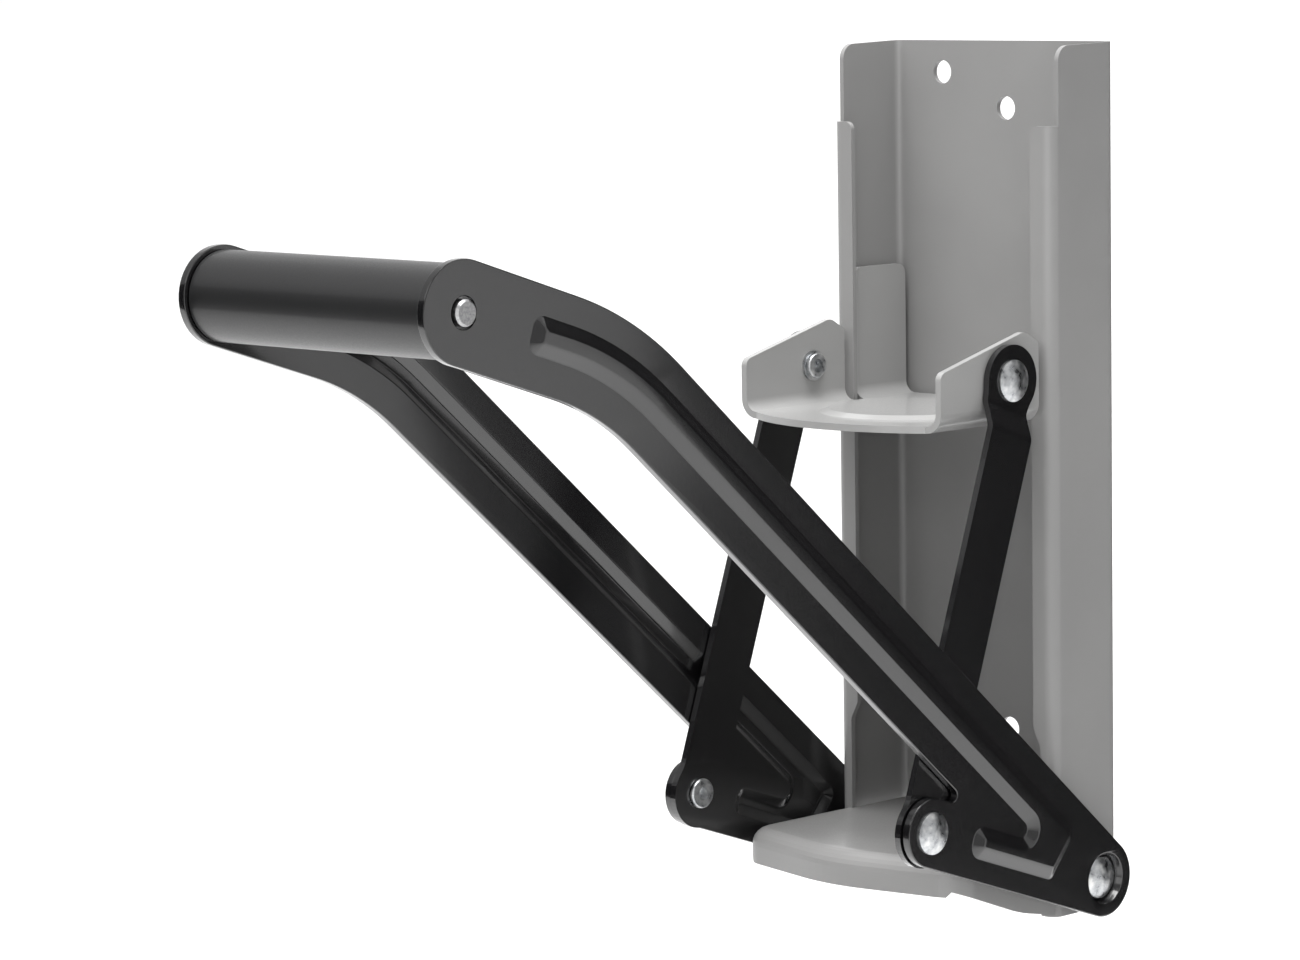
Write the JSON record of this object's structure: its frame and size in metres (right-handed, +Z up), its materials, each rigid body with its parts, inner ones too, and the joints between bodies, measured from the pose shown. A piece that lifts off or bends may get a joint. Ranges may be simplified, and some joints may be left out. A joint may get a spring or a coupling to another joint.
{
  "type": "lever can crusher",
  "caption": "Wall-mounted lever can crusher: a bent two-arm lever with a cross grip pulls a press plate down a lipped channel onto a small base tray.",
  "frame": {"origin": "on the wall face of the channel's back plate, midway between the side flanges and level with the lever's frame pivots", "axes": "+X to the right side, -Y out from the wall towards the user, +Z up"},
  "size_m": [0.1006, 0.2737, 0.2542],
  "materials": {
    "grey_paint": "satin",
    "black_paint": "semi-gloss",
    "grip_black": "satin",
    "rod_steel": "satin",
    "zinc": "bright zinc",
    "plug_plastic": "matte"
  },
  "bodies": {
    "frame": {"frame_channel": "grey_paint", "base_tray": "grey_paint", "frame_pivot_rivet_right": "zinc", "frame_pivot_rivet_left": "zinc", "frame_pivot_washer_right": "zinc", "frame_pivot_washer_left": "zinc"},
    "press": {"press_plate": "grey_paint", "press_pivot_rivet_right": "zinc", "press_pivot_rivet_left": "zinc", "press_pivot_washer_right": "zinc", "press_pivot_washer_left": "zinc"},
    "link_right": {"link_right": "black_paint", "arm_link_rivet_tail_right": "zinc"},
    "link_left": {"link_left": "black_paint", "arm_link_rivet_tail_left": "zinc"},
    "lever": {"lever_arm_right": "black_paint", "lever_arm_left": "black_paint", "arm_link_rivet_head_right": "zinc", "arm_link_rivet_head_left": "zinc", "grip_rod": "rod_steel"},
    "grip": {"grip_tube": "grip_black", "grip_plug_right": "plug_plastic", "grip_plug_left": "plug_plastic"}
  },
  "joints": [
    {"name": "lever_swing", "type": "hinge", "parent": "frame", "child": "lever", "pos_m": [0, -0.0129, 0], "axis": [1, 0, 0], "range_deg": [-8, 70]},
    {"name": "press_slide", "type": "slide", "parent": "frame", "child": "press", "axis": [0, 0, 1], "range_m": [-0.0808, 0.0094]},
    {"name": "link_right_swing", "type": "hinge", "parent": "press", "child": "link_right", "pos_m": [0, -0.0445, 0.14809], "axis": [1, 0, 0], "range_deg": [-1.5, 12]},
    {"name": "link_left_swing", "type": "hinge", "parent": "press", "child": "link_left", "pos_m": [0, -0.0445, 0.14809], "axis": [1, 0, 0], "range_deg": [-1.5, 12]},
    {"name": "grip_spin", "type": "hinge", "parent": "lever", "child": "grip", "pos_m": [0, -0.26009, 0.18291], "axis": [1, 0, 0], "continuous": true}
  ],
  "couplings": [
    {"joint": "press_slide", "follows": "lever_swing", "m_per_rad": -0.066},
    {"joint": "link_right_swing", "follows": "lever_swing", "ratio": 0.1683},
    {"joint": "link_left_swing", "follows": "lever_swing", "ratio": 0.1683}
  ]
}
